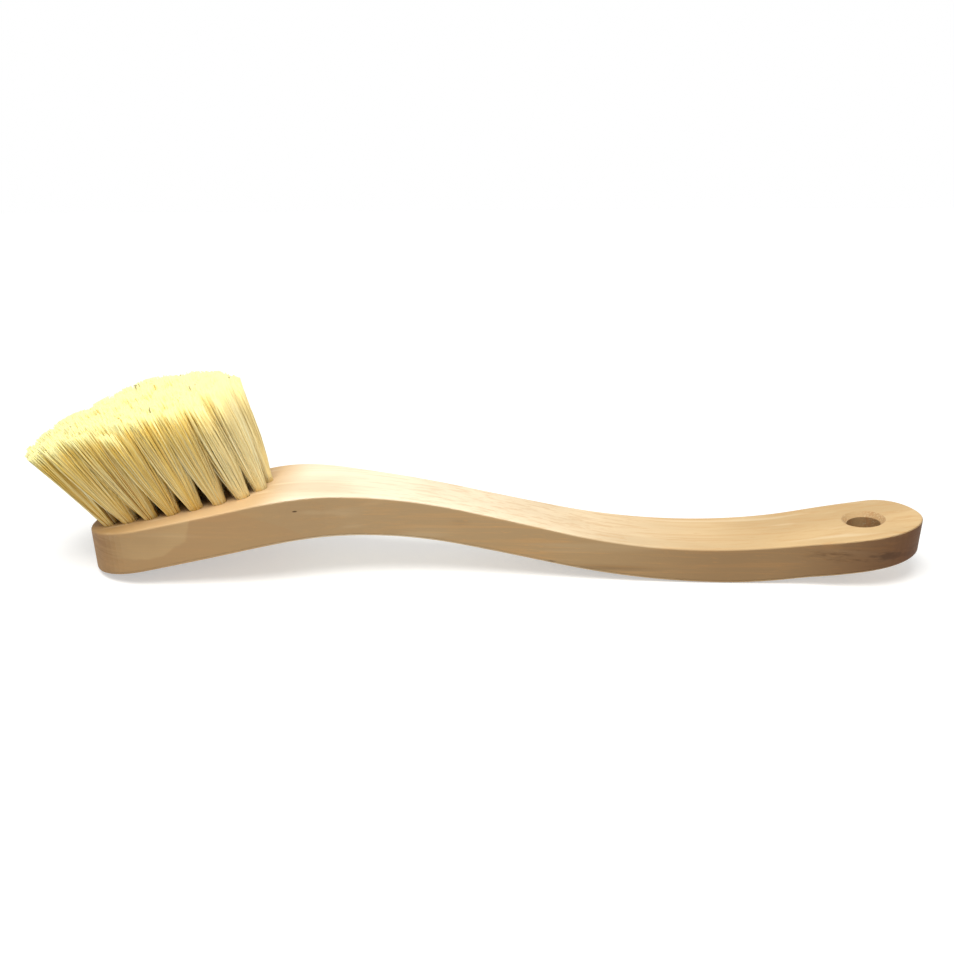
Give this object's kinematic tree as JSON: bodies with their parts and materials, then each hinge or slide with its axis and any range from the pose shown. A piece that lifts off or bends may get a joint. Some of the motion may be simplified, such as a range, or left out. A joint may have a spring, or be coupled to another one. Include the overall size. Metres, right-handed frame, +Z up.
{
  "type": "scrub brush",
  "caption": "Scrub brush with a one-piece curved wooden block and handle, 30 fanned tufts of plant fibre on wire anchors, and a hang hole.",
  "frame": {"origin": "centre of the bounding box's bottom, on the bench the brush lies on, bristles up", "axes": "+X from the bristle head to the hang hole, +Y across the brush, +Z up along the bristles"},
  "size_m": [0.3618, 0.0596, 0.0796],
  "materials": {
    "wood": "sanded, unvarnished pale hardwood",
    "fibre": "matte plant fibre, cream at the cut tips",
    "anchor_wire": "bright flat wire"
  },
  "bodies": {
    "root": {"handle": "wood", "tuft_front_outer_1": "fibre", "tuft_front_outer_2": "fibre", "tuft_front_outer_3": "fibre", "tuft_front_outer_4": "fibre", "tuft_front_outer_5": "fibre", "tuft_front_outer_6": "fibre", "tuft_front_outer_7": "fibre", "tuft_front_inner_1": "fibre", "tuft_front_inner_2": "fibre", "tuft_front_inner_3": "fibre", "tuft_front_inner_4": "fibre", "tuft_front_inner_5": "fibre", "tuft_front_inner_6": "fibre", "tuft_front_inner_7": "fibre", "tuft_front_inner_8": "fibre", "tuft_back_inner_1": "fibre", "tuft_back_inner_2": "fibre", "tuft_back_inner_3": "fibre", "tuft_back_inner_4": "fibre", "tuft_back_inner_5": "fibre", "tuft_back_inner_6": "fibre", "tuft_back_inner_7": "fibre", "tuft_back_inner_8": "fibre", "tuft_back_outer_1": "fibre", "tuft_back_outer_2": "fibre", "tuft_back_outer_3": "fibre", "tuft_back_outer_4": "fibre", "tuft_back_outer_5": "fibre", "tuft_back_outer_6": "fibre", "tuft_back_outer_7": "fibre", "anchors_front_outer": "anchor_wire", "anchors_front_inner": "anchor_wire", "anchors_back_inner": "anchor_wire", "anchors_back_outer": "anchor_wire"}
  },
  "joints": []
}
